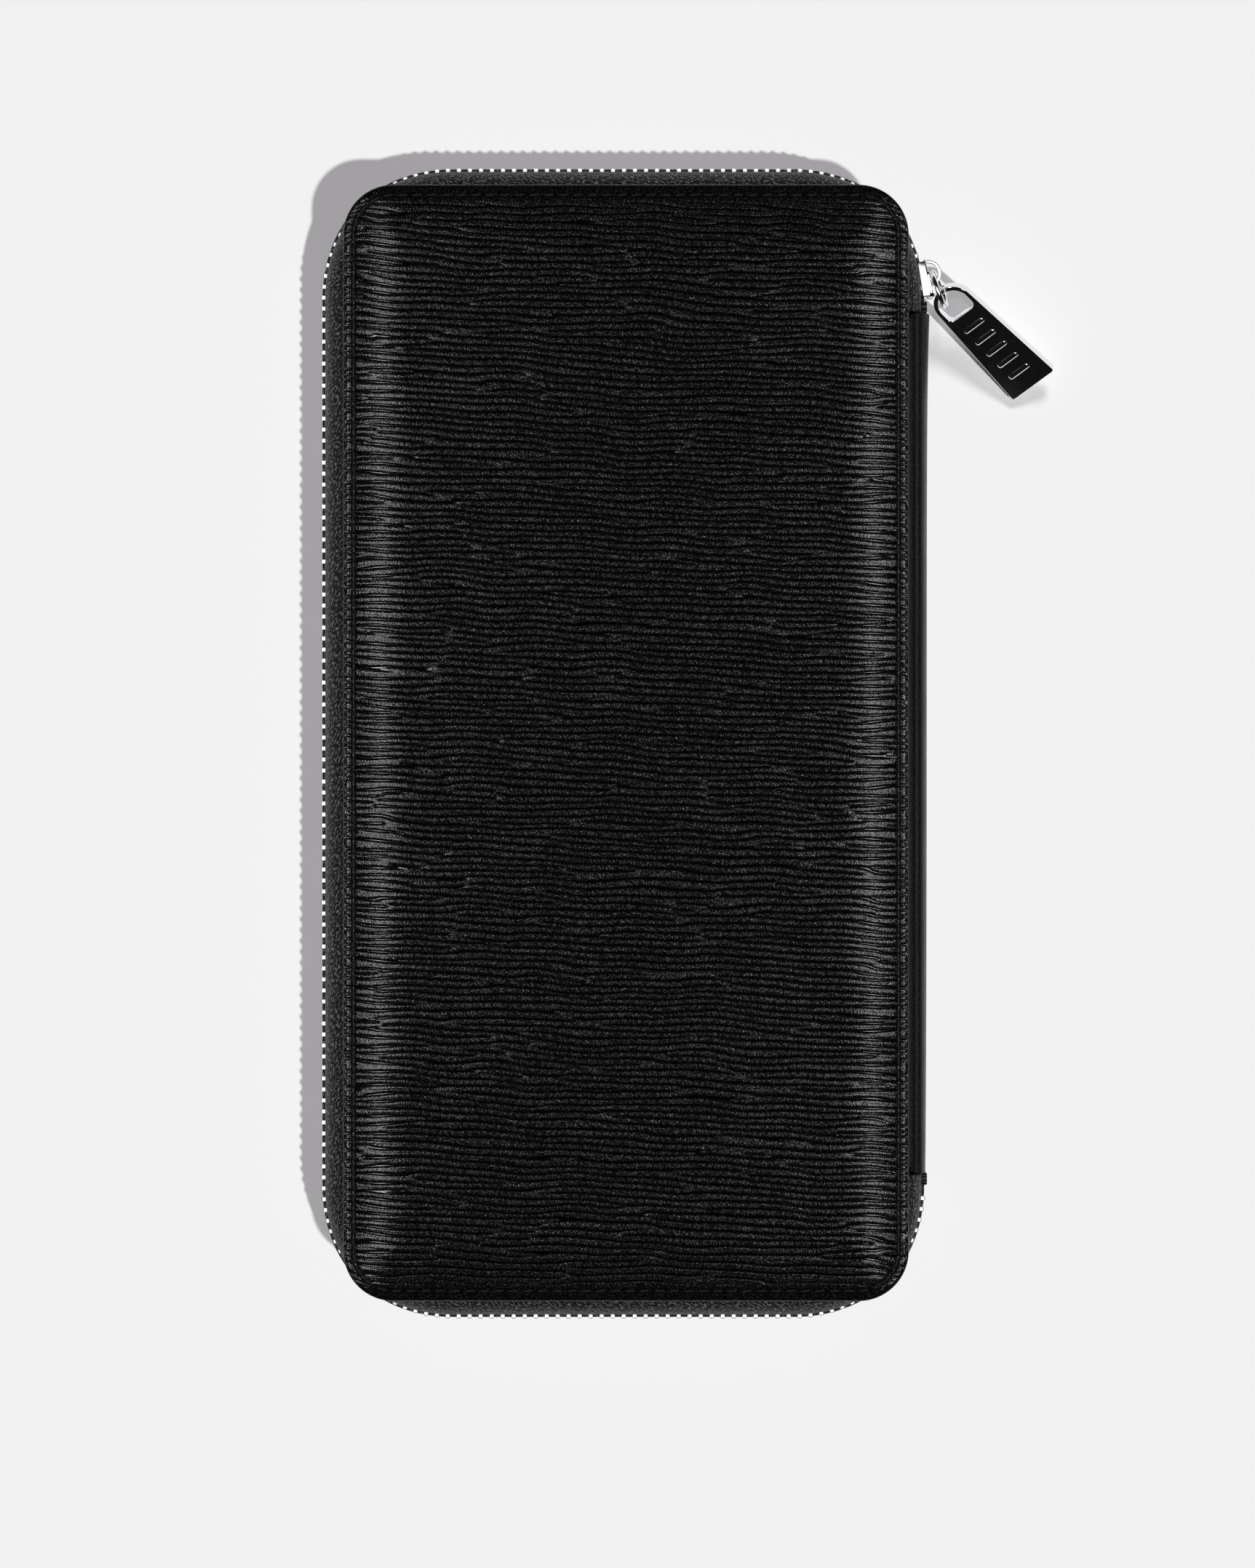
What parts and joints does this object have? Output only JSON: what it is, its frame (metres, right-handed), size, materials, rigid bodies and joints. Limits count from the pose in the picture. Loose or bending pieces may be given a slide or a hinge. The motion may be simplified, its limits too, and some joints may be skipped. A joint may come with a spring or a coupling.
{
  "type": "travel document organizer",
  "caption": "Zip-around leather travel case that opens flat like a book, with document pockets, card slots and a zipped coin pocket inside.",
  "frame": {"origin": "centre of the back cover's flat outside face, on the surface that the closed case lies on", "axes": "+X towards the spine, +Y along the spine towards the closed end of the zip, +Z out of the front cover"},
  "size_m": [0.1476, 0.231, 0.024],
  "materials": {
    "leather": "satin, ribbed grain",
    "zip_cloth": "fine herringbone weave",
    "lining_cloth": "matt twill",
    "polished_metal": "polished",
    "stiffener": "matt",
    "pocket_leather": "satin, fine grain",
    "elastic": "ribbed elastic"
  },
  "bodies": {
    "back": {"back_cover": "leather", "back_board": "stiffener", "back_lining": "lining_cloth", "back_zip_tape": "zip_cloth", "back_zip_teeth": "polished_metal", "zip_end_tab_upper": "zip_cloth", "zip_end_tab_lower": "zip_cloth", "boarding_pass_pocket": "pocket_leather", "passport_pocket": "pocket_leather", "pen_loop": "elastic"},
    "spine": {"spine_cover": "leather", "spine_lining": "lining_cloth"},
    "front": {"front_cover": "leather", "front_board": "stiffener", "front_lining": "lining_cloth", "front_zip_tape": "zip_cloth", "front_zip_teeth": "polished_metal", "front_tape_end_upper": "zip_cloth", "front_tape_end_lower": "zip_cloth", "front_teeth_end_upper": "polished_metal", "front_teeth_end_lower": "polished_metal", "card_slot_1": "pocket_leather", "card_slot_2": "pocket_leather", "card_slot_3": "pocket_leather", "card_slot_4": "pocket_leather", "card_slot_5": "pocket_leather", "card_slot_6": "pocket_leather", "coin_pocket_panel": "pocket_leather", "coin_zip_tape_upper": "zip_cloth", "coin_zip_tape_lower": "zip_cloth", "coin_zip_teeth_upper": "polished_metal", "coin_zip_teeth_lower": "polished_metal", "coin_zip_stop_left": "polished_metal", "coin_zip_stop_right": "polished_metal"},
    "slider": {"slider_body": "polished_metal"},
    "ring": {"puller_ring": "polished_metal"},
    "puller": {"zip_puller": "polished_metal"},
    "coin_slider": {"coin_slider_body": "polished_metal"},
    "coin_puller": {"coin_puller": "polished_metal"}
  },
  "joints": [
    {"name": "spine_fold", "type": "hinge", "parent": "back", "child": "spine", "pos_m": [0.0567, 0, 0.0025], "axis": [0, 1, 0], "range_deg": [0, 90], "deforming": ["front_tape_end_upper", "front_tape_end_lower", "front_teeth_end_upper", "front_teeth_end_lower"]},
    {"name": "front_fold", "type": "hinge", "parent": "spine", "child": "front", "pos_m": [0.0567, 0, 0.0215], "axis": [0, 1, 0], "range_deg": [0, 90]},
    {"name": "slider_travel", "type": "hinge", "parent": "back", "child": "slider", "pos_m": [0.0336, 0.0888, 0.012], "axis": [0, 0, 1], "range_deg": [0, 75]},
    {"name": "ring_swing", "type": "hinge", "parent": "slider", "child": "ring", "pos_m": [0.06164, 0.09445, 0.012], "axis": [0, 0, 1], "range_deg": [0, 60]},
    {"name": "puller_swing", "type": "hinge", "parent": "ring", "child": "puller", "pos_m": [0.06339, 0.09083, 0.01264], "axis": [0.7142, 0.5161, 0.4728], "range_deg": [-15, 20]},
    {"name": "coin_slider_travel", "type": "slide", "parent": "front", "child": "coin_slider", "axis": [1, 0, 0], "range_m": [0, 0.076]},
    {"name": "coin_puller_swing", "type": "hinge", "parent": "coin_slider", "child": "coin_puller", "pos_m": [-0.038, -0.014, 0.0155], "axis": [0, 1, 0], "range_deg": [0, 170]}
  ],
  "couplings": [
    {"joint": "front_fold", "follows": "spine_fold", "ratio": 1},
    {"joint": "slider_travel", "follows": "spine_fold", "ratio": 0.83333}
  ]
}
